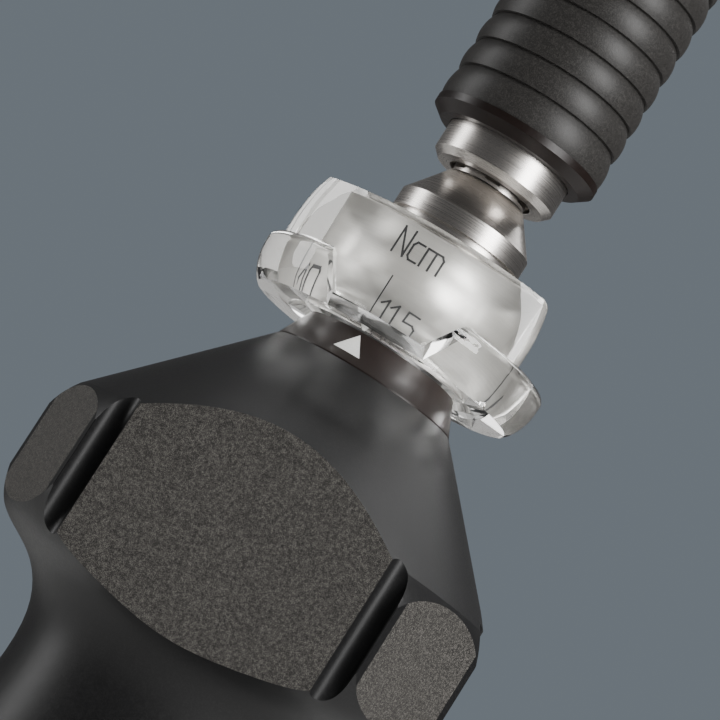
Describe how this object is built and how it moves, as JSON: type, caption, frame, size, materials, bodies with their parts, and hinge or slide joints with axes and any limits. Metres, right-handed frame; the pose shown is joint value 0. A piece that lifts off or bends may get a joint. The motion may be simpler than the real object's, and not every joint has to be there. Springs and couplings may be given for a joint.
{
  "type": "torque screwdriver",
  "caption": "Adjustable torque screwdriver: faceted handle with soft pads, clear petalled setting ring over a turning scale barrel, slip clutch inside and a quick-change bit chuck.",
  "frame": {"origin": "centre of the flat face of the rear cap, on which the tool stands", "axes": "+Z along the tool's axis to the bit chuck; the middle of the first broad handle flat faces -Y"},
  "size_m": [0.0292, 0.0292, 0.145],
  "materials": {
    "handle_core": "near-black satin hard plastic, fine grain",
    "broad_pads": "dark grey soft pad, speckled grain",
    "small_pads": "dark grey soft pad, speckled grain",
    "rear_band": "dark grey soft band, speckled grain",
    "neck_ring": "warm black, glossy",
    "index_mark": "light grey inlay",
    "setting_ring": "clear water-white plastic, polished",
    "scale_barrel": "satin turned, printed scale",
    "nose_cap": "turned satin steel",
    "nose_bush": "plain bearing bronze",
    "setting_screw": "darkened steel",
    "spring_nut": "machined",
    "torque_spring": "spring steel, dished discs",
    "guide_keys": "ground",
    "housing": "turned",
    "pressure_plate": "ground",
    "clutch_disc": "hardened",
    "upper_race": "ground",
    "lower_race": "ground",
    "bearing_balls": "polished bearing steel",
    "rear_bush": "plain bearing bronze",
    "neck_bush": "plain bearing bronze",
    "thrust_washer": "plain bearing bronze",
    "output_spindle": "turned satin steel",
    "chuck_body": "turned satin steel",
    "locking_balls": "polished bearing steel",
    "retaining_ring": "spring steel",
    "release_bush": "turned",
    "sleeve_spring": "spring wire",
    "snap_ring": "spring wire",
    "grip_sleeve": "dark charcoal, fine satin grain",
    "sleeve_end": "warm black, glossy",
    "rear_cap": "near-black satin hard plastic",
    "cap_plug": "black",
    "cap_screw": "zinc plated",
    "cap_washer": "slippery plastic"
  },
  "bodies": {
    "handle": {"handle_core": "handle_core", "broad_pads": "broad_pads", "small_pads": "small_pads", "rear_band": "rear_band", "cap_screw": "cap_screw", "cap_washer": "cap_washer", "neck_ring": "neck_ring", "index_mark": "index_mark", "neck_bush": "neck_bush", "thrust_washer": "thrust_washer", "housing": "housing", "guide_keys": "guide_keys", "pressure_plate": "pressure_plate", "torque_spring": "torque_spring", "lower_race": "lower_race", "bearing_balls": "bearing_balls", "rear_bush": "rear_bush"},
    "adjuster": {"setting_ring": "setting_ring", "scale_barrel": "scale_barrel", "nose_cap": "nose_cap", "nose_bush": "nose_bush", "setting_screw": "setting_screw"},
    "nut": {"spring_nut": "spring_nut"},
    "spindle": {"output_spindle": "output_spindle", "clutch_disc": "clutch_disc", "upper_race": "upper_race", "chuck_body": "chuck_body", "locking_balls": "locking_balls", "retaining_ring": "retaining_ring", "sleeve_spring": "sleeve_spring"},
    "slider": {"release_bush": "release_bush", "snap_ring": "snap_ring"},
    "sleeve": {"grip_sleeve": "grip_sleeve", "sleeve_end": "sleeve_end"},
    "cap": {"rear_cap": "rear_cap", "cap_plug": "cap_plug"}
  },
  "joints": [
    {"name": "torque_set", "type": "hinge", "parent": "handle", "child": "adjuster", "pos_m": [0, 0, 0.115], "axis": [0, 0, 1], "range_deg": [0, 324]},
    {"name": "nut_slide", "type": "slide", "parent": "handle", "child": "nut", "axis": [0, 0, 1], "range_m": [0, 0.00275], "deforming": ["torque_spring"]},
    {"name": "output_spin", "type": "hinge", "parent": "handle", "child": "spindle", "pos_m": [0, 0, 0.1], "axis": [0, 0, 1], "continuous": true},
    {"name": "sleeve_slide", "type": "slide", "parent": "spindle", "child": "slider", "axis": [0, 0, -1], "range_m": [0, 0.0024], "stiffness_N_per_m": 1000, "springref_m": -0.003, "deforming": ["sleeve_spring"]},
    {"name": "sleeve_spin", "type": "hinge", "parent": "slider", "child": "sleeve", "pos_m": [0, 0, 0.135], "axis": [0, 0, 1], "continuous": true},
    {"name": "cap_spin", "type": "hinge", "parent": "handle", "child": "cap", "pos_m": [0, 0, 0.006], "axis": [0, 0, 1], "continuous": true}
  ],
  "couplings": [
    {"joint": "torque_set", "follows": "nut_slide", "rad_per_m": 2056.3}
  ]
}
